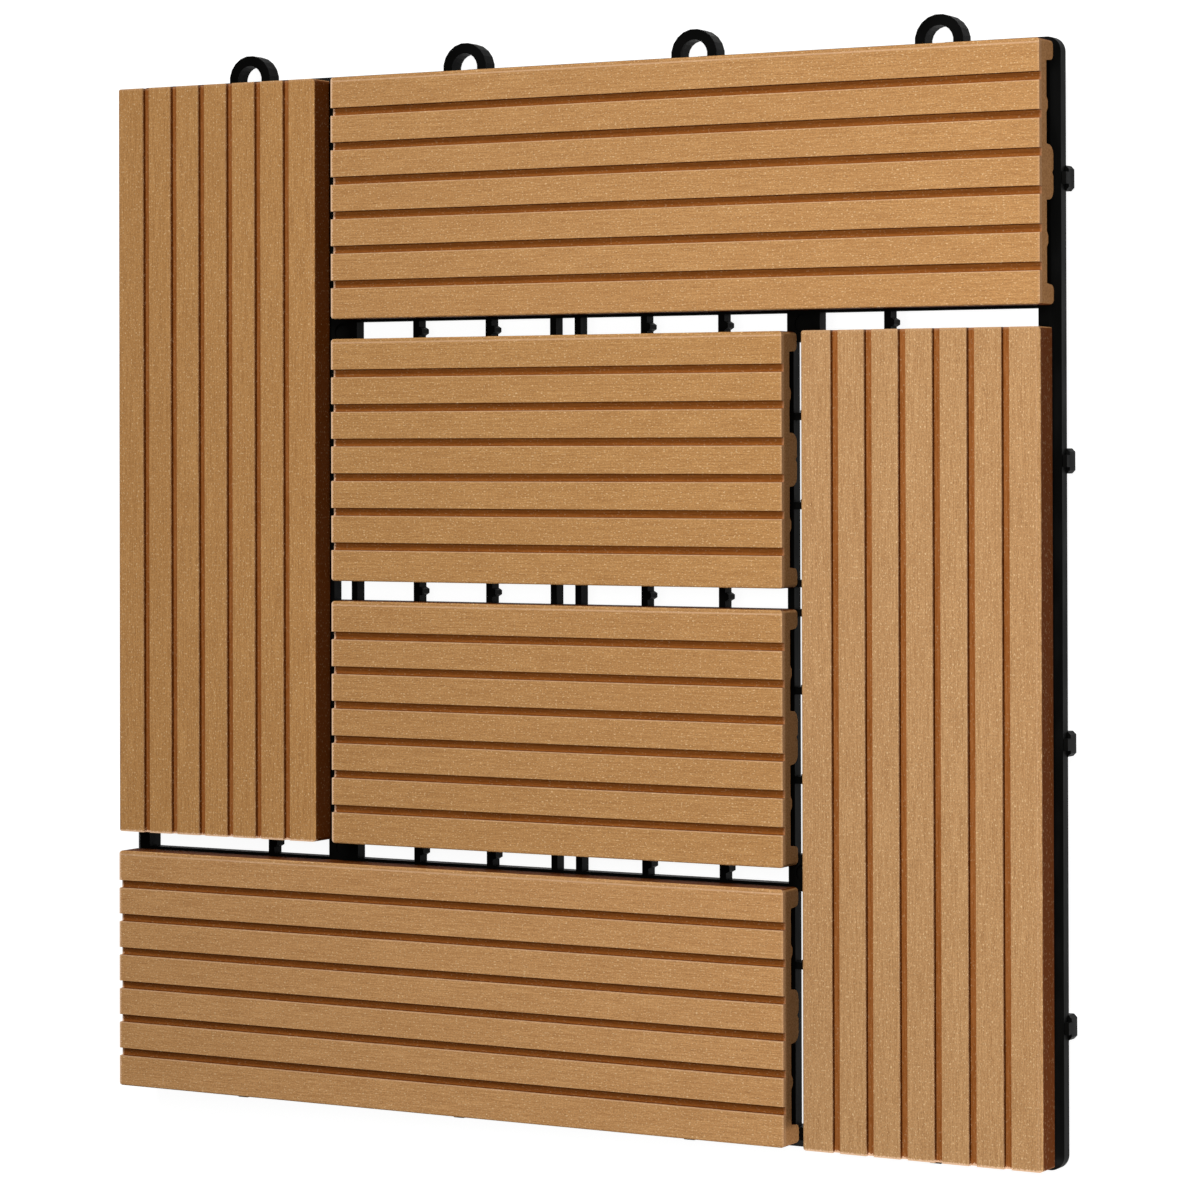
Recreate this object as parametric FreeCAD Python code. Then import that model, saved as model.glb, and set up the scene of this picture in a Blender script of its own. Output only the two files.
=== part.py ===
import FreeCAD, Part
import math
import os

# Interlocking deck tile, in millimetres. Six grooved composite slats lie on one moulded plastic
# base and are screwed to it from below. Z is up and the feet stand on Z = 0. Loops stick out at -X
# and +Y, and pegs at +X and -Y, so that the pegs of one tile drop into the loops of the next. The
# pieces are made round the middle of the base, and then moved so that the origin is on the ground
# under the middle of the whole tile with its loops and pegs.

# Whole tile
MODULE = 75.0
MODULES = 4
HEIGHT = 22.0
SLAT_THICKNESS = 9.3

# Slats
SLAT_INSET = 1.3
SLAT_GAP = 5.8
SLAT_CORNER = 1.0
GROOVES = 6
GROOVE_PITCH = 10.0
GROOVE_WIDTH = 2.35
GROOVE_DEPTH = 1.4
GROOVE_DRAFT = 0.15
TOP_ROUND = 0.5
PLATE_THICKNESS = 4.8
LEG_WIDTH = 5.6
LEG_ROUND = 1.6
LEG_TAPER = 0.4
BOSS_WIDTH = 14.8
BOSS_TAPER = 0.4
BOSS_ROUND = 2.8
NOTCH_WIDTH = 1.8
NOTCH_DEPTH = 0.8
BUMP_PLACE = 17.2
BUMP_WIDTH = 4.2
BUMP_TOP = 1.8
BUMP_HEIGHT = 0.9

# Ribs of the base
RIB_THICKNESS = 2.0
RIB_DEPTH = 3.8
PAIR_SPACING = 8.0
SINGLE_OFFSET = 12.2
PAD_RADIUS = 1.05
PAD_SIDES = 6

# Rim of the base
RIM_DEPTH = 5.6
RIM_WIDTH = 5.7
RIM_SLOPE_IN = 2.1
RIM_SLOPE_DOWN = 2.2
RIM_CORNER = 4.0
CHANNEL_SKIN = 1.6
CHANNEL_WIDTH = 2.4
CHANNEL_DEPTH = 3.2
CHANNEL_STOP = 11.0

# Caps over the four outer crossings of the rib pairs
CAP_THICKNESS = 1.8
DIMPLE_RADIUS = 2.7
DIMPLE_DEPTH = 0.7
DIMPLE_SIDES = 16

# Screws, and the tubes round them that are the feet
SCREW_RADIUS = 2.0
SCREW_BITE = 6.3
SCREW_SIDES = 8
SCREW_CLEARANCE = 0.25
PILOT_CLEARANCE = 0.05
HEAD_RADIUS = 3.8
HEAD_HEIGHT = 2.4
HEAD_SLOPE = 1.3
HEAD_SIDES = 10
CROSS_LENGTH = 3.6
CROSS_WIDTH = 1.0
CROSS_DEPTH = 1.2
SEAT_THICKNESS = 3.2
TUBE_CLEARANCE = 0.5
TUBE_WALL = 1.4
TUBE_SIDES = 16

# Loops and pegs at the edges
LOOP_HOLE = 4.2
LOOP_WALL = 2.95
LOOP_THICKNESS = 5.0
LOOP_OUT = 1.1
LOOP_DROP = 1.6
LOOP_SIDES = 20
PEG_WIDTH = 6.7
PEG_STANDOUT = 1.0
PEG_LENGTH = 4.1
PEG_ROUND = 0.9
PEG_LEAD = 0.8
WEB_WIDTH = 3.2
WEB_STANDOUT = 1.2
WEB_HEIGHT = 2.9

# Sizes that follow from those above
BASE = MODULE * MODULES
HALF = BASE / 2
FIELD = BASE - 2 * SLAT_INSET
SLAT_WIDTH = (FIELD - (MODULES - 1) * SLAT_GAP) / MODULES
SEAT_Z = HEIGHT - SLAT_THICKNESS
RIB_BOTTOM = SEAT_Z - RIB_DEPTH
RIM_BOTTOM = SEAT_Z - RIM_DEPTH
RIM_INSIDE = HALF - RIM_WIDTH
LOOP_TOP = RIM_BOTTOM - LOOP_DROP
LOOP_BOTTOM = LOOP_TOP - LOOP_THICKNESS
LOOP_RADIUS = LOOP_HOLE + LOOP_WALL
PEG_REACH = 2 * (LOOP_OUT + PEG_STANDOUT)
HEAD_TOP = SEAT_Z - SEAT_THICKNESS
TUBE_BORE = HEAD_RADIUS + TUBE_CLEARANCE
TUBE_RADIUS = TUBE_BORE + TUBE_WALL
FRAME_SHIFT = (LOOP_OUT + LOOP_RADIUS - WEB_STANDOUT) / 2
OVERLAP = 0.5

UP = FreeCAD.Vector(0, 0, 1)
CENTRES = [(number - (MODULES - 1) / 2) * MODULE for number in range(MODULES)]
LINES = [(number - MODULES / 2) * MODULE for number in range(1, MODULES)]


def box(x0, x1, y0, y1, z0, z1):
    return Part.makeBox(x1 - x0, y1 - y0, z1 - z0, FreeCAD.Vector(x0, y0, z0))


def prism(x, y, radius, sides, z0, z1):
    """Upright round bar or bore, as a regular prism whose flats lie at the radius."""
    corner = radius / math.cos(math.pi / sides)
    points = []
    for number in range(sides + 1):
        turn = 2 * math.pi * (number + 0.5) / sides
        points.append(FreeCAD.Vector(x + corner * math.cos(turn), y + corner * math.sin(turn), z0))
    return Part.Face(Part.makePolygon(points)).extrude(UP * (z1 - z0))


def fused(shapes):
    return shapes[0].multiFuse(shapes[1:])


def rounded_face(corners, place):
    """Face inside (a, b, radius) corners, where place(a, b) is the point in space."""
    arcs = []
    for index, (a, b, radius) in enumerate(corners):
        here = place(a, b)
        if radius == 0:
            arcs.append((here, None, here))
            continue
        before = place(*corners[index - 1][:2]) - here
        after = place(*corners[(index + 1) % len(corners)][:2]) - here
        before.normalize()
        after.normalize()
        half_angle = before.getAngle(after) / 2
        inward = before + after
        inward.normalize()
        run = radius / math.tan(half_angle)
        sagitta = radius / math.sin(half_angle) - radius
        arcs.append((here + before * run, here + inward * sagitta, here + after * run))
    edges = []
    for index, (start, middle, finish) in enumerate(arcs):
        if middle is not None:
            edges.append(Part.Arc(start, middle, finish).toShape())
        edges.append(Part.makeLine(finish, arcs[(index + 1) % len(arcs)][0]))
    return Part.Face(Part.Wire(edges))


def rounded_slab(x0, x1, y0, y1, radius, z0, z1):
    """Flat block with rounded upright corners."""
    corners = [(x0, y0, radius), (x1, y0, radius), (x1, y1, radius), (x0, y1, radius)]
    face = rounded_face(corners, lambda x, y: FreeCAD.Vector(x, y, z0))
    return face.extrude(UP * (z1 - z0))


# Slats
def slat_half_underside():
    """Corners from the outer side to the middle, as (distance from the middle, height, radius)."""
    side = SLAT_WIDTH / 2
    ceiling = SLAT_THICKNESS - PLATE_THICKNESS
    leg = side - LEG_WIDTH
    bump = side - BUMP_PLACE
    boss = BOSS_WIDTH / 2
    return [
        (side, 0, LEG_ROUND),
        (leg + LEG_TAPER, 0, LEG_ROUND),
        (leg, ceiling, 0),
        (bump + BUMP_WIDTH / 2, ceiling, 0),
        (bump + BUMP_TOP / 2, ceiling - BUMP_HEIGHT, 0),
        (bump - BUMP_TOP / 2, ceiling - BUMP_HEIGHT, 0),
        (bump - BUMP_WIDTH / 2, ceiling, 0),
        (boss, ceiling, 0),
        (boss - BOSS_TAPER, 0, BOSS_ROUND),
        (NOTCH_WIDTH / 2, 0, 0),
        (0, NOTCH_DEPTH, 0),
    ]


def slat_profile():
    """Corners of the end of a slat, anticlockwise from its left side."""
    half = slat_half_underside()
    corners = [(-a, height, radius) for a, height, radius in half]
    corners += [half[index] for index in range(len(half) - 2, -1, -1)]
    corners.append((SLAT_WIDTH / 2, SLAT_THICKNESS, TOP_ROUND))
    for number in range(GROOVES - 1, -1, -1):
        middle = (number - (GROOVES - 1) / 2) * GROOVE_PITCH
        wide = GROOVE_WIDTH / 2
        narrow = wide - GROOVE_DRAFT
        floor = SLAT_THICKNESS - GROOVE_DEPTH
        corners.append((middle + wide, SLAT_THICKNESS, 0))
        corners.append((middle + narrow, floor, 0))
        corners.append((middle - narrow, floor, 0))
        corners.append((middle - wide, SLAT_THICKNESS, 0))
    corners.append((-SLAT_WIDTH / 2, SLAT_THICKNESS, TOP_ROUND))
    return corners


def lane(first, last):
    """Low and high edge of the strip from slat lane first to slat lane last."""
    low = -FIELD / 2 + first * (SLAT_WIDTH + SLAT_GAP)
    high = -FIELD / 2 + last * (SLAT_WIDTH + SLAT_GAP) + SLAT_WIDTH
    return low, high


def screw_places(x0, x1, y0, y1):
    return [(x, y) for x in CENTRES for y in CENTRES if x0 < x < x1 and y0 < y < y1]


def make_slat(lanes_x, lanes_y):
    x0, x1 = lane(*lanes_x)
    y0, y1 = lane(*lanes_y)
    if lanes_y[0] == lanes_y[1]:
        middle = (y0 + y1) / 2
        place = lambda a, height: FreeCAD.Vector(x0, middle - a, SEAT_Z + height)
        along = FreeCAD.Vector(x1 - x0, 0, 0)
    else:
        middle = (x0 + x1) / 2
        place = lambda a, height: FreeCAD.Vector(middle + a, y0, SEAT_Z + height)
        along = FreeCAD.Vector(0, y1 - y0, 0)
    slat = rounded_face(slat_profile(), place).extrude(along)
    slat = slat.common(rounded_slab(x0, x1, y0, y1, SLAT_CORNER, 0, 2 * HEIGHT))
    for x, y in screw_places(x0, x1, y0, y1):
        slat = slat.cut(screw_shank(x, y, PILOT_CLEARANCE))
    return slat


# Screws
def screw_shank(x, y, clearance):
    """Shank from inside the head to its end in the slat; the clearance is added all round."""
    end = SEAT_Z + SCREW_BITE + clearance
    return prism(x, y, SCREW_RADIUS + clearance, SCREW_SIDES, HEAD_TOP - OVERLAP, end)


def make_screw(x, y):
    """Screw with its head inside the tube, and a cross recess that opens downwards."""
    low = HEAD_TOP - HEAD_HEIGHT
    head = prism(x, y, HEAD_RADIUS, HEAD_SIDES, low, HEAD_TOP)
    rim = [edge for edge in head.Edges if edge.BoundBox.ZMax < low + 0.01]
    head = head.makeChamfer(HEAD_SLOPE, rim)
    long = CROSS_LENGTH / 2
    wide = CROSS_WIDTH / 2
    head = head.cut(box(x - long, x + long, y - wide, y + wide, low, low + CROSS_DEPTH))
    head = head.cut(box(x - wide, x + wide, y - long, y + long, low, low + CROSS_DEPTH))
    return head.fuse(screw_shank(x, y, 0)).removeSplitter()


# Base
def single_ribs():
    """Middles of the single ribs across one axis, but not those next to the rim."""
    ribs = []
    for centre in CENTRES:
        for single in (centre - SINGLE_OFFSET, centre + SINGLE_OFFSET):
            if CENTRES[0] < single < CENTRES[-1]:
                ribs.append(single)
    return ribs


def make_ribs():
    """Ribs in both directions from rim to rim: pairs on the lines, singles between them."""
    reach = RIM_INSIDE + OVERLAP
    wide = RIB_THICKNESS / 2
    pairs = [line + side * PAIR_SPACING / 2 for line in LINES for side in (-1, 1)]
    solids = []
    for rib in pairs + single_ribs():
        solids.append(box(rib - wide, rib + wide, -reach, reach, RIB_BOTTOM, SEAT_Z))
        solids.append(box(-reach, reach, rib - wide, rib + wide, RIB_BOTTOM, SEAT_Z))
    return solids


def make_pads():
    """Half-round pads on one side of each single rib, where it crosses a slat gap."""
    solids = []
    for rib in single_ribs():
        side = rib + RIB_THICKNESS / 2
        for line in LINES:
            solids.append(prism(side, line, PAD_RADIUS, PAD_SIDES, RIB_BOTTOM, SEAT_Z))
        for line in (LINES[0], LINES[-1]):
            solids.append(prism(line, side, PAD_RADIUS, PAD_SIDES, RIB_BOTTOM, SEAT_Z))
    return solids


def rounded_square(half, radius, z):
    corners = [(-half, -half, radius), (half, -half, radius), (half, half, radius), (-half, half, radius)]
    return rounded_face(corners, lambda x, y: FreeCAD.Vector(x, y, z))


def make_rim():
    """Outer wall: a band, a slope above it and a channel below, round the whole base."""
    band_top = SEAT_Z - RIM_SLOPE_DOWN
    inner = HALF - RIM_SLOPE_IN
    rim = rounded_slab(-HALF, HALF, -HALF, HALF, RIM_CORNER, RIM_BOTTOM, band_top)
    low_wire = rounded_square(HALF, RIM_CORNER, band_top).OuterWire
    high_wire = rounded_square(inner, RIM_CORNER - RIM_SLOPE_IN, SEAT_Z).OuterWire
    rim = rim.fuse(Part.makeLoft([low_wire, high_wire], True, True))
    hole = RIM_INSIDE
    rim = rim.cut(box(-hole, hole, -hole, hole, 0, HEIGHT))
    out = HALF - CHANNEL_SKIN
    within = out - CHANNEL_WIDTH
    channel_top = RIM_BOTTOM + CHANNEL_DEPTH
    channel = box(-out, out, -out, out, 0, channel_top)
    channel = channel.cut(box(-within, within, -within, within, 0, channel_top))
    stops = []
    for centre in CENTRES:
        for low_x, high_x in ((-BASE, -within + 1), (within - 1, BASE)):
            stop = CHANNEL_STOP / 2
            stops.append(box(low_x, high_x, centre - stop, centre + stop, 0, HEIGHT))
            stops.append(box(centre - stop, centre + stop, low_x, high_x, 0, HEIGHT))
    for x in (-1, 1):
        for y in (-1, 1):
            corner = HALF * FreeCAD.Vector(x, y, 0)
            stops.append(box(*square_at(corner.x, corner.y, RIM_WIDTH + RIM_CORNER), 0, HEIGHT))
    return rim.cut(channel.cut(fused(stops)))


def square_at(x, y, half):
    return x - half, x + half, y - half, y + half


def make_caps():
    """Caps that close the outer crossings of the pairs, each with a round dimple on top."""
    solids = []
    dimples = []
    for x in (LINES[0], LINES[-1]):
        for y in (LINES[0], LINES[-1]):
            square = square_at(x, y, PAIR_SPACING / 2)
            solids.append(box(*square, SEAT_Z - CAP_THICKNESS, SEAT_Z))
            floor = SEAT_Z - DIMPLE_DEPTH
            dimples.append(prism(x, y, DIMPLE_RADIUS, DIMPLE_SIDES, floor, HEIGHT))
    return solids, dimples


def make_screw_tubes():
    """Tube feet at the module centres, tied by spokes to the nearest ribs or to the rim."""
    solids = []
    bores = []
    wide = RIB_THICKNESS / 2
    for x in CENTRES:
        for y in CENTRES:
            solids.append(prism(x, y, TUBE_RADIUS, TUBE_SIDES, 0, SEAT_Z))
            left = -RIM_INSIDE - OVERLAP if x == CENTRES[0] else x - SINGLE_OFFSET
            right = RIM_INSIDE + OVERLAP if x == CENTRES[-1] else x + SINGLE_OFFSET
            front = -RIM_INSIDE - OVERLAP if y == CENTRES[0] else y - SINGLE_OFFSET
            back = RIM_INSIDE + OVERLAP if y == CENTRES[-1] else y + SINGLE_OFFSET
            solids.append(box(left, right, y - wide, y + wide, RIB_BOTTOM, SEAT_Z))
            solids.append(box(x - wide, x + wide, front, back, RIB_BOTTOM, SEAT_Z))
            bores.append(prism(x, y, TUBE_BORE, TUBE_SIDES, -1, HEAD_TOP))
            bores.append(prism(x, y, SCREW_RADIUS + SCREW_CLEARANCE, SCREW_SIDES, 0, HEIGHT))
    return solids, bores


def make_loop():
    """Loop at the +Y edge of the module at x = 0; its hole also notches the rim above it."""
    y = HALF + LOOP_OUT
    ring = prism(0, y, LOOP_RADIUS, LOOP_SIDES, LOOP_BOTTOM, LOOP_TOP)
    collar = prism(0, y, LOOP_RADIUS, LOOP_SIDES, LOOP_BOTTOM, RIM_BOTTOM + OVERLAP)
    collar = collar.common(box(-MODULE, MODULE, 0, HALF, 0, HEIGHT))
    hole = prism(0, y, LOOP_HOLE, LOOP_SIDES, -1, HEIGHT)
    return ring.fuse(collar), hole


def make_peg():
    """Peg at the -Y edge of the module at x = 0, hanging from the rim, with a web outside."""
    low = -HALF - PEG_STANDOUT
    wide = PEG_WIDTH / 2
    tip = RIM_BOTTOM - PEG_LENGTH
    peg = box(-wide, wide, low, low + PEG_REACH, tip, RIM_BOTTOM + OVERLAP)
    upright = [edge for edge in peg.Edges if edge.BoundBox.ZLength > PEG_LENGTH]
    peg = peg.makeChamfer(PEG_ROUND, upright)
    tip_edges = [edge for edge in peg.Edges if edge.BoundBox.ZMax < tip + 0.01]
    peg = peg.makeChamfer(PEG_LEAD, tip_edges)
    web = WEB_WIDTH / 2
    outside = -HALF - WEB_STANDOUT
    rib = box(-web, web, outside, -HALF + OVERLAP, RIM_BOTTOM, RIM_BOTTOM + WEB_HEIGHT)
    return peg.fuse(rib)


def moved(shape, angle, along):
    """Shape moved along its edge and turned round the middle of the tile."""
    placed = shape.copy()
    placed.translate(FreeCAD.Vector(along, 0, 0))
    placed.rotate(FreeCAD.Vector(0, 0, 0), UP, angle)
    return placed


def make_base():
    caps, dimples = make_caps()
    tubes, tube_bores = make_screw_tubes()
    loop, hole = make_loop()
    peg = make_peg()
    solids = [make_rim()] + make_ribs() + make_pads() + caps + tubes
    holes = []
    for centre in CENTRES:
        for angle in (0, 90):
            solids.append(moved(loop, angle, centre))
            solids.append(moved(peg, angle, centre))
            holes.append(moved(hole, angle, centre))
    base = fused(solids)
    base = base.cut(fused(dimples + tube_bores + holes))
    return base.removeSplitter()


# Lanes run 0 to 3 from -X to +X and from -Y to +Y
SLATS = {
    "left_slat": ((0, 0), (1, 3)),
    "top_slat": ((1, 3), (3, 3)),
    "right_slat": ((3, 3), (0, 2)),
    "bottom_slat": ((0, 2), (0, 0)),
    "upper_middle_slat": ((1, 2), (2, 2)),
    "lower_middle_slat": ((1, 2), (1, 1)),
}


def save(shape, name):
    shape.translate(FreeCAD.Vector(FRAME_SHIFT, -FRAME_SHIFT, 0))
    shape.exportStep("parts/" + name + ".step")


os.makedirs("parts", exist_ok=True)
save(make_base(), "base_grid")
for name, (lanes_x, lanes_y) in SLATS.items():
    save(make_slat(lanes_x, lanes_y), name)
save(Part.makeCompound([make_screw(x, y) for x in CENTRES for y in CENTRES]), "slat_screws")
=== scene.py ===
import bpy
from mathutils import Matrix, Vector


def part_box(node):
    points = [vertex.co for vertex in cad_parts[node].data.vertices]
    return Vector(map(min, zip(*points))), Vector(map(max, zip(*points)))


# Interlocking deck tile: six brushed composite slats on a black plastic base. Metres throughout.
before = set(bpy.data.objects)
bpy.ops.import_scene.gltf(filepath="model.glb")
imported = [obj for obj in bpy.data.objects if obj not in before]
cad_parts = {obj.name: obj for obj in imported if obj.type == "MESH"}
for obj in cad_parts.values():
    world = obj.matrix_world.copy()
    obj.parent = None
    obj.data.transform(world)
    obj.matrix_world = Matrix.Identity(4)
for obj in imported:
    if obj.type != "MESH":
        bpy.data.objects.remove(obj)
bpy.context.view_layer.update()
bpy.context.scene.view_settings.view_transform = "Standard"

# Camera, as found from the photograph: focal length and height of the optical centre in pixels of
# the 1200 square, then the camera's place from the ground under the tile's middle, and its turn
IMAGE = 1200
FOCAL = 3926.5
CENTRE_Y = 414.9
SENSOR = 36.0
CLIP_START = 0.05
CAMERA_FROM_TILE = Vector((0.5523, 0.0422, 0.9747))
CAMERA_TURN = Vector((-0.0067, 0.5124, -0.0044))

# Slats: which way they run, the grooves, the frayed edge at the ends with its painted highlight and
# its strength at the low and the high end, and the painted highlight along the ridges
SLATS_ALONG_X = ("top_slat", "bottom_slat", "upper_middle_slat", "lower_middle_slat")
SLATS_ALONG_Y = ("left_slat", "right_slat")
GROOVE_DEPTH = 0.0014
END_EDGE = 0.0007
END_HIGHLIGHT_LOW = 0.85
END_HIGHLIGHT_HIGH = 0.15
GROOVE_PITCH = 0.010
GROOVE_WIDTH = 0.00235
# Width and strength of the painted highlight along the ridges
RIDGE_HIGHLIGHT_WIDTH = 0.0003
RIDGE_HIGHLIGHT_SHARE = {"X": 0.35, "Y": 0.08}
MM = 0.001

# Colours, linear
BRUSHED = (0.560, 0.300, 0.120, 1)
BRUSHED_DARK = (0.420, 0.205, 0.074, 1)
FLECK = (0.850, 0.600, 0.330, 1)
PORE = (0.200, 0.085, 0.028, 1)
RAW = (0.320, 0.103, 0.018, 1)
RAW_DARK = (0.230, 0.067, 0.010, 1)
# Painted sheen in the grooves of slats along Y
GROOVE_SHEEN = (0.400, 0.175, 0.070, 1)
# Sides and groove walls: partly the raw surface's darker colour, partly painted shade
SIDE_AND_SHADE = (0.120, 0.028, 0.002, 1)
# Tint per slat, partly the slats' own tone, partly painted light: painted shade on the left slat, a
# painted sheen on the right slat
SLAT_TINTS_AND_LIGHT = {
    "left_slat": (0.95, 0.93, 0.84, 1),
    "top_slat": (0.98, 0.98, 0.95, 1),
    "right_slat": (0.95, 1.01, 1.13, 1),
    "bottom_slat": (1.03, 1.04, 1.06, 1),
    "upper_middle_slat": (0.94, 0.94, 0.88, 1),
    "lower_middle_slat": (0.94, 0.94, 0.90, 1),
}
SAWN = (0.480, 0.240, 0.095, 1)
SAWN_DARK = (0.350, 0.160, 0.056, 1)
# Pale colour of the frayed end edges; it also paints the highlights at the ends and along the
# ridges
FRAY_AND_HIGHLIGHT = (0.850, 0.560, 0.360, 1)
PLASTIC = (0.0019, 0.0019, 0.0017, 1)
PLASTIC_PALE = (0.0040, 0.0040, 0.0038, 1)
ZINC = (0.520, 0.510, 0.480, 1)
ZINC_DULL = (0.360, 0.350, 0.330, 1)
FLOOR = (0.300, 0.300, 0.300, 1)
FLOOR_SIDE = 8.0
WHITE = (1, 1, 1, 1)

# Specular levels
COMPOSITE_SHINE = 0.05
PLASTIC_SHINE = 0.03

# Noise cells of the composite in millimetres: along the slat, across it and upward
STREAK_CELL = (14, 0.45, 1)
FINE_CELL = (3, 0.25, 0.5)
BROAD_CELL = (70, 9, 20)
FLECK_CELL = (0.75, 0.42, 0.5)
PORE_CELL = (1.6, 0.4, 0.5)
GRAIN_CELL = (0.5, 0.3, 0.4)
SAW_CELL = 0.5
PORE_OFFSET = (3.1, 1.7, 0.4)

# A face turns from not facing an axis to facing it between these parts of its normal
FACING = (0.6, 0.8)

# Noise cells of the other materials in millimetres
PLASTIC_GRAIN_CELL = 0.35
FLOW_CELL = (18, 18, 4)
ZINC_CELL = 1.2

# Light
AMBIENT = 0.125
FLOOR_GLOW = 0.93
KEY_PLACE = (0.26, 0.10, 0.52)
KEY_SIZE = 0.30
KEY_POWER = 1.75
BACK_PLACE = (0.3, 2.0, 1.8)
BACK_SIZE = 0.7
BACK_POWER = 48
SIDE_PLACE = (0.36, -0.40, 0.07)
SIDE_AIM = (0.16, -0.16, 0)
SIDE_SIZE = 0.12
SIDE_POWER = 0.9


def tile_middle():
    """Ground under the middle of the four outer slats, which the camera was measured from."""
    x = (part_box("left_slat")[0][0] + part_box("right_slat")[1][0]) / 2
    y = (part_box("bottom_slat")[0][1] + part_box("top_slat")[1][1]) / 2
    return Vector((x, y, 0))


def make_camera():
    data = bpy.data.cameras.new("camera")
    data.sensor_width = SENSOR
    data.lens = FOCAL / IMAGE * SENSOR
    data.shift_y = (CENTRE_Y - IMAGE / 2) / IMAGE
    data.clip_start = CLIP_START
    camera = bpy.data.objects.new("camera", data)
    turn = Matrix.Rotation(CAMERA_TURN.length, 3, CAMERA_TURN.normalized())
    axes = turn @ Matrix.Diagonal((1, -1, -1))
    right, down, forward = axes[0], axes[1], axes[2]
    facing = Matrix((right, -down, -forward)).transposed().to_4x4()
    camera.matrix_world = Matrix.Translation(tile_middle() + CAMERA_FROM_TILE) @ facing
    bpy.context.collection.objects.link(camera)
    bpy.context.scene.camera = camera


class Nodes:
    """Short ways to add shader nodes to one material."""

    def __init__(self, name):
        self.material = bpy.data.materials.new(name)
        self.material.use_nodes = True
        self.tree = self.material.node_tree
        self.tree.nodes.clear()
        self.output = self.tree.nodes.new("ShaderNodeOutputMaterial")

    def add(self, kind, inputs=None, **settings):
        node = self.tree.nodes.new(kind)
        for name, value in settings.items():
            setattr(node, name, value)
        for key, value in (inputs or {}).items():
            self.give(node.inputs[key], value)
        return node

    def give(self, socket, value):
        if isinstance(value, bpy.types.NodeSocket):
            self.tree.links.new(value, socket)
        else:
            socket.default_value = value

    def math(self, operation, *values):
        """One arithmetic node; each value is a number or a socket."""
        node = self.add("ShaderNodeMath", operation=operation)
        for socket, value in zip(node.inputs, values):
            self.give(socket, value)
        return node.outputs[0]

    def ramp(self, value, low, high, out_low=0.0, out_high=1.0):
        """Smooth step of the value from low to high; low may be the greater one."""
        node = self.add("ShaderNodeMapRange", interpolation_type="SMOOTHSTEP")
        names = ("Value", "From Min", "From Max", "To Min", "To Max")
        for name, item in zip(names, (value, low, high, out_low, out_high)):
            self.give(node.inputs[name], item)
        return node.outputs["Result"]

    def mix(self, factor, first, second, blend="MIX"):
        node = self.add("ShaderNodeMix", data_type="RGBA", blend_type=blend)
        self.give(node.inputs["Factor"], factor)
        self.give(node.inputs["A"], first)
        self.give(node.inputs["B"], second)
        return node.outputs["Result"]

    def stretched(self, place, scales):
        """Coordinates times one scale per axis, so that noise cells are 1/scale metres long."""
        node = self.add("ShaderNodeMapping", {"Vector": place})
        node.inputs["Scale"].default_value = scales
        return node.outputs["Vector"]

    def noise(self, vector, detail=2.0, roughness=0.5):
        node = self.add("ShaderNodeTexNoise", {"Vector": vector, "Scale": 1.0, "Detail": detail,
                                               "Roughness": roughness})
        return node.outputs["Fac"]

    def finish(self, inputs):
        shader = self.add("ShaderNodeBsdfPrincipled", inputs)
        self.tree.links.new(shader.outputs[0], self.output.inputs["Surface"])
        return self.material


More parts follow.
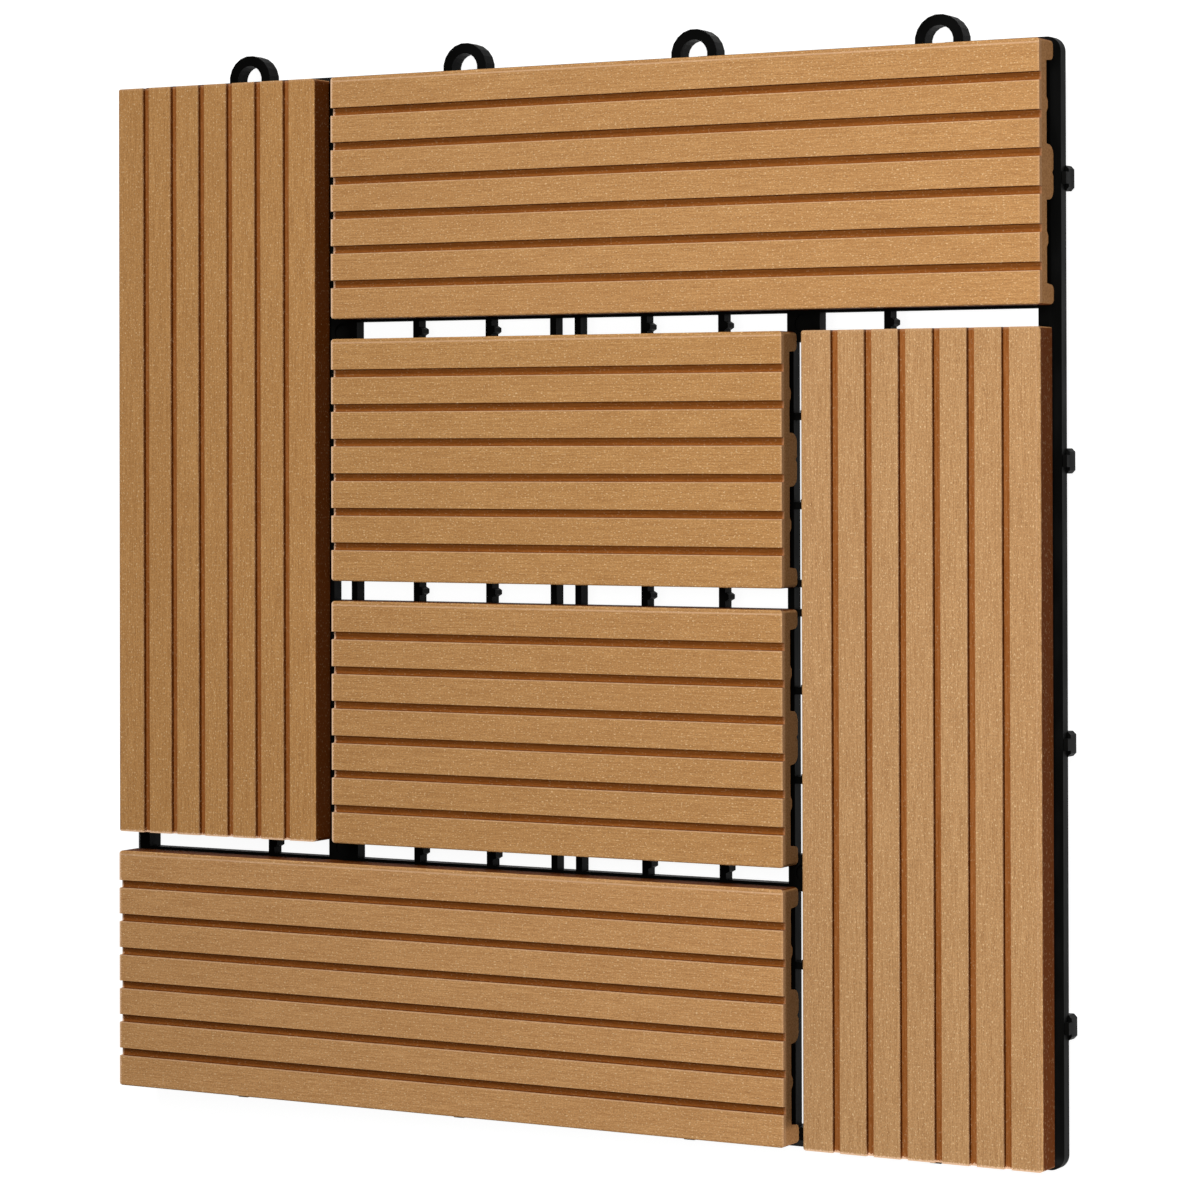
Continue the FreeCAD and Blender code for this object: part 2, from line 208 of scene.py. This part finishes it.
def composite(node_name, along):
    """Wood-plastic composite: brushed ridges, raw and redder grooves and sides, sawn ends, with
    painted shade on the sides and groove walls, painted sheen and painted highlights.
    """
    low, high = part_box(node_name)
    n = Nodes("composite_" + node_name)
    place = n.add("ShaderNodeTexCoord").outputs["Object"]
    parts = n.add("ShaderNodeSeparateXYZ", {"Vector": place})
    true_normal = n.add("ShaderNodeNewGeometry").outputs["True Normal"]
    normal = n.add("ShaderNodeSeparateXYZ", {"Vector": true_normal})
    axis = 0 if along == "X" else 1
    across = 1 - axis

    def scales(cell):
        """Scale per axis for noise cells of this length, width and height in millimetres."""
        values = [0, 0, 1 / (cell[2] * MM)]
        values[axis] = 1 / (cell[0] * MM)
        values[across] = 1 / (cell[1] * MM)
        return tuple(values)

    moved = n.add("ShaderNodeVectorMath", {0: place, 1: PORE_OFFSET}).outputs[0]
    streaks = n.noise(n.stretched(place, scales(STREAK_CELL)), 3.0, 0.6)
    fine = n.noise(n.stretched(place, scales(FINE_CELL)), 2.0, 0.6)
    broad = n.noise(n.stretched(place, scales(BROAD_CELL)), 2.0, 0.5)
    flecks = n.noise(n.stretched(place, scales(FLECK_CELL)), 1.0, 0.5)
    pores = n.noise(n.stretched(moved, scales(PORE_CELL)), 1.0, 0.5)
    grain = n.noise(n.stretched(place, scales(GRAIN_CELL)), 2.0, 0.7)
    fleck = n.ramp(flecks, 0.60, 0.74)
    pore = n.ramp(pores, 0.60, 0.76)

    tone = n.math("ADD", n.math("MULTIPLY", streaks, 0.55), n.math("MULTIPLY", fine, 0.45))
    brushed = n.mix(n.ramp(tone, 0.36, 0.64), BRUSHED_DARK, BRUSHED)
    brushed = n.mix(n.ramp(broad, 0.3, 0.7, 0.0, 0.25), brushed, BRUSHED_DARK)
    # Tint per slat: partly own tone, partly painted shade and painted sheen
    brushed = n.mix(1.0, brushed, SLAT_TINTS_AND_LIGHT[node_name], "MULTIPLY")
    brushed = n.mix(1.0, brushed, n.ramp(grain, 0.3, 0.7, 0.82, 1.18), "MULTIPLY")
    brushed = n.mix(n.math("MULTIPLY", fleck, 0.65), brushed, FLECK)
    brushed = n.mix(n.math("MULTIPLY", pore, 0.35), brushed, PORE)

    # Painted highlight: a pale line along the ridge on the low side of each groove
    centre_line = (low[across] + high[across]) / 2
    turns = n.math("DIVIDE", n.math("SUBTRACT", parts.outputs[across], centre_line), GROOVE_PITCH)
    phase = n.math("FRACT", n.math("ADD", turns, 0.5))
    edge = 1 - GROOVE_WIDTH / 2 / GROOVE_PITCH
    ragged_phase = n.math("ADD", phase, n.math("MULTIPLY", n.math("SUBTRACT", fine, 0.5), 0.03))
    share = RIDGE_HIGHLIGHT_WIDTH / GROOVE_PITCH
    ridge_highlight = n.math("MULTIPLY", n.ramp(ragged_phase, edge - share, edge - 0.5 * share),
                  n.ramp(phase, edge + share, edge + 0.5 * share))
    brushed = n.mix(n.math("MULTIPLY", ridge_highlight, RIDGE_HIGHLIGHT_SHARE[along]), brushed, FRAY_AND_HIGHLIGHT)

    # Grooves and sides; the sides and groove walls get a darker colour, partly the raw surface and
    # partly painted shade
    raw = n.mix(n.ramp(tone, 0.35, 0.65), RAW_DARK, RAW)
    # Slats along Y: paler patches in the grooves, a painted sheen
    if along == "Y":
        raw = n.mix(n.ramp(tone, 0.3, 0.7, 0.0, 0.25), raw, GROOVE_SHEEN)
    # Faces turned across the slat are darkened: painted shade on top of the raw side colour
    raw = n.mix(n.ramp(n.math("ABSOLUTE", normal.outputs[across]), *FACING), raw, SIDE_AND_SHADE)
    raw = n.mix(n.math("MULTIPLY", fleck, 0.18), raw, FLECK)

    height = parts.outputs["Z"]
    ragged = n.math("MULTIPLY", n.math("SUBTRACT", fine, 0.5), 0.5 * MM)
    top = n.ramp(n.math("ADD", height, ragged),
                 high[2] - 0.5 * GROOVE_DEPTH, high[2] - 0.15 * GROOVE_DEPTH)
    colour = n.mix(top, raw, brushed)

    # Sawn ends
    end = n.ramp(n.math("ABSOLUTE", normal.outputs[axis]), *FACING)
    saw = n.noise(n.stretched(place, (1 / (SAW_CELL * MM),) * 3), 3.0, 0.6)
    sawn = n.mix(n.ramp(saw, 0.35, 0.65), SAWN_DARK, SAWN)
    colour = n.mix(end, colour, sawn)

    # Pale edge above the ends: frayed fibres with a painted highlight, stronger at the low end than
    # at the high end
    coordinate = parts.outputs[axis]
    to_end = n.math("MINIMUM", n.math("SUBTRACT", coordinate, low[axis]),
                    n.math("SUBTRACT", high[axis], coordinate))
    uneven = n.math("MULTIPLY", n.math("SUBTRACT", flecks, 0.5), 2 * END_EDGE)
    fray_and_highlight = n.ramp(n.math("ADD", to_end, uneven), END_EDGE, 0.4 * END_EDGE)
    upper = n.ramp(height, high[2] - 1.2 * GROOVE_DEPTH, high[2] - 1.1 * GROOVE_DEPTH)
    middle = (low[axis] + high[axis]) / 2
    end_highlight_strength = n.ramp(coordinate, middle - MM, middle + MM, END_HIGHLIGHT_LOW, END_HIGHLIGHT_HIGH)
    colour = n.mix(n.math("MULTIPLY", n.math("MULTIPLY", fray_and_highlight, upper), end_highlight_strength), colour, FRAY_AND_HIGHLIGHT)

    relief = n.math("ADD", tone, n.math("MULTIPLY", fleck, 0.4))
    bump = n.add("ShaderNodeBump", {"Height": relief, "Strength": 0.35, "Distance": 0.15 * MM})
    rough = n.ramp(tone, 0.3, 0.7, 0.62, 0.78)
    return n.finish({"Base Color": colour, "Roughness": rough, "Normal": bump.outputs[0],
                     "Specular IOR Level": COMPOSITE_SHINE})


def moulded_plastic():
    """Black plastic with a fine moulded grain and faint flow marks."""
    n = Nodes("moulded_black_plastic")
    place = n.add("ShaderNodeTexCoord").outputs["Object"]
    grain = n.noise(n.stretched(place, (1 / (PLASTIC_GRAIN_CELL * MM),) * 3), 2.0, 0.6)
    flow = n.noise(n.stretched(place, tuple(1 / (size * MM) for size in FLOW_CELL)), 2.0, 0.5)
    colour = n.mix(n.ramp(flow, 0.35, 0.7), PLASTIC, PLASTIC_PALE)
    colour = n.mix(n.ramp(grain, 0.62, 0.75, 0.0, 0.5), colour, PLASTIC_PALE)
    bump = n.add("ShaderNodeBump", {"Height": grain, "Strength": 0.25, "Distance": 0.06 * MM})
    rough = n.ramp(flow, 0.3, 0.7, 0.42, 0.56)
    return n.finish({"Base Color": colour, "Roughness": rough, "Normal": bump.outputs[0],
                     "Specular IOR Level": PLASTIC_SHINE})


def zinc_steel():
    """Zinc-plated steel with a dull cloudy coat."""
    n = Nodes("zinc_steel")
    place = n.add("ShaderNodeTexCoord").outputs["Object"]
    cloud = n.noise(n.stretched(place, (1 / (ZINC_CELL * MM),) * 3), 3.0, 0.6)
    colour = n.mix(n.ramp(cloud, 0.35, 0.7), ZINC, ZINC_DULL)
    bump = n.add("ShaderNodeBump", {"Height": cloud, "Strength": 0.2, "Distance": 0.05 * MM})
    rough = n.ramp(cloud, 0.3, 0.7, 0.28, 0.48)
    return n.finish({"Base Color": colour, "Metallic": 1.0, "Roughness": rough,
                     "Normal": bump.outputs[0]})


def dress(node_name, material):
    for slot in bpy.data.objects[node_name].material_slots:
        slot.material = material


def make_floor():
    """Pale floor that shows as white to the camera and still takes the tile's shadow."""
    mesh = bpy.data.meshes.new("floor")
    half = FLOOR_SIDE / 2
    corners = [(-half, -half, 0), (half, -half, 0), (half, half, 0), (-half, half, 0)]
    mesh.from_pydata(corners, [], [(0, 1, 2, 3)])
    floor = bpy.data.objects.new("floor", mesh)
    bpy.context.collection.objects.link(floor)
    n = Nodes("floor_white")
    diffuse = n.add("ShaderNodeBsdfDiffuse", {"Color": FLOOR})
    glow = n.add("ShaderNodeEmission", {"Color": WHITE, "Strength": FLOOR_GLOW})
    both = n.add("ShaderNodeAddShader")
    n.tree.links.new(diffuse.outputs[0], both.inputs[0])
    n.tree.links.new(glow.outputs[0], both.inputs[1])
    path = n.add("ShaderNodeLightPath")
    mirrored = n.math("MAXIMUM", path.outputs["Is Glossy Ray"], path.outputs["Is Transmission Ray"])
    seen = n.math("MAXIMUM", path.outputs["Is Camera Ray"], mirrored)
    choice = n.add("ShaderNodeMixShader", {0: seen})
    n.tree.links.new(diffuse.outputs[0], choice.inputs[1])
    n.tree.links.new(both.outputs[0], choice.inputs[2])
    n.tree.links.new(choice.outputs[0], n.output.inputs["Surface"])
    mesh.materials.append(n.material)


def make_world():
    world = bpy.data.worlds.new("world")
    world.use_nodes = True
    tree = world.node_tree
    tree.nodes.clear()
    output = tree.nodes.new("ShaderNodeOutputWorld")
    background = tree.nodes.new("ShaderNodeBackground")
    background.inputs["Color"].default_value = WHITE
    background.inputs["Strength"].default_value = AMBIENT
    seen = tree.nodes.new("ShaderNodeBackground")
    seen.inputs["Color"].default_value = WHITE
    seen.inputs["Strength"].default_value = 1.0
    path = tree.nodes.new("ShaderNodeLightPath")
    choice = tree.nodes.new("ShaderNodeMixShader")
    tree.links.new(path.outputs["Is Camera Ray"], choice.inputs[0])
    tree.links.new(background.outputs[0], choice.inputs[1])
    tree.links.new(seen.outputs[0], choice.inputs[2])
    tree.links.new(choice.outputs[0], output.inputs["Surface"])
    bpy.context.scene.world = world


def make_lamp(name, place, target, size, power):
    data = bpy.data.lights.new(name, "AREA")
    data.shape = "SQUARE"
    data.size = size
    data.energy = power
    lamp = bpy.data.objects.new(name, data)
    lamp.location = place
    lamp.rotation_euler = (Vector(target) - Vector(place)).to_track_quat("-Z", "Y").to_euler()
    lamp.visible_camera = False
    bpy.context.collection.objects.link(lamp)


make_camera()
for name in SLATS_ALONG_X:
    dress(name, composite(name, "X"))
for name in SLATS_ALONG_Y:
    dress(name, composite(name, "Y"))
dress("base_grid", moulded_plastic())
dress("slat_screws", zinc_steel())
make_floor()
make_world()
make_lamp("key", KEY_PLACE, (KEY_PLACE[0], KEY_PLACE[1], 0), KEY_SIZE, KEY_POWER)
make_lamp("back", BACK_PLACE, (0, 0, 0), BACK_SIZE, BACK_POWER)
make_lamp("low_side", SIDE_PLACE, SIDE_AIM, SIDE_SIZE, SIDE_POWER)
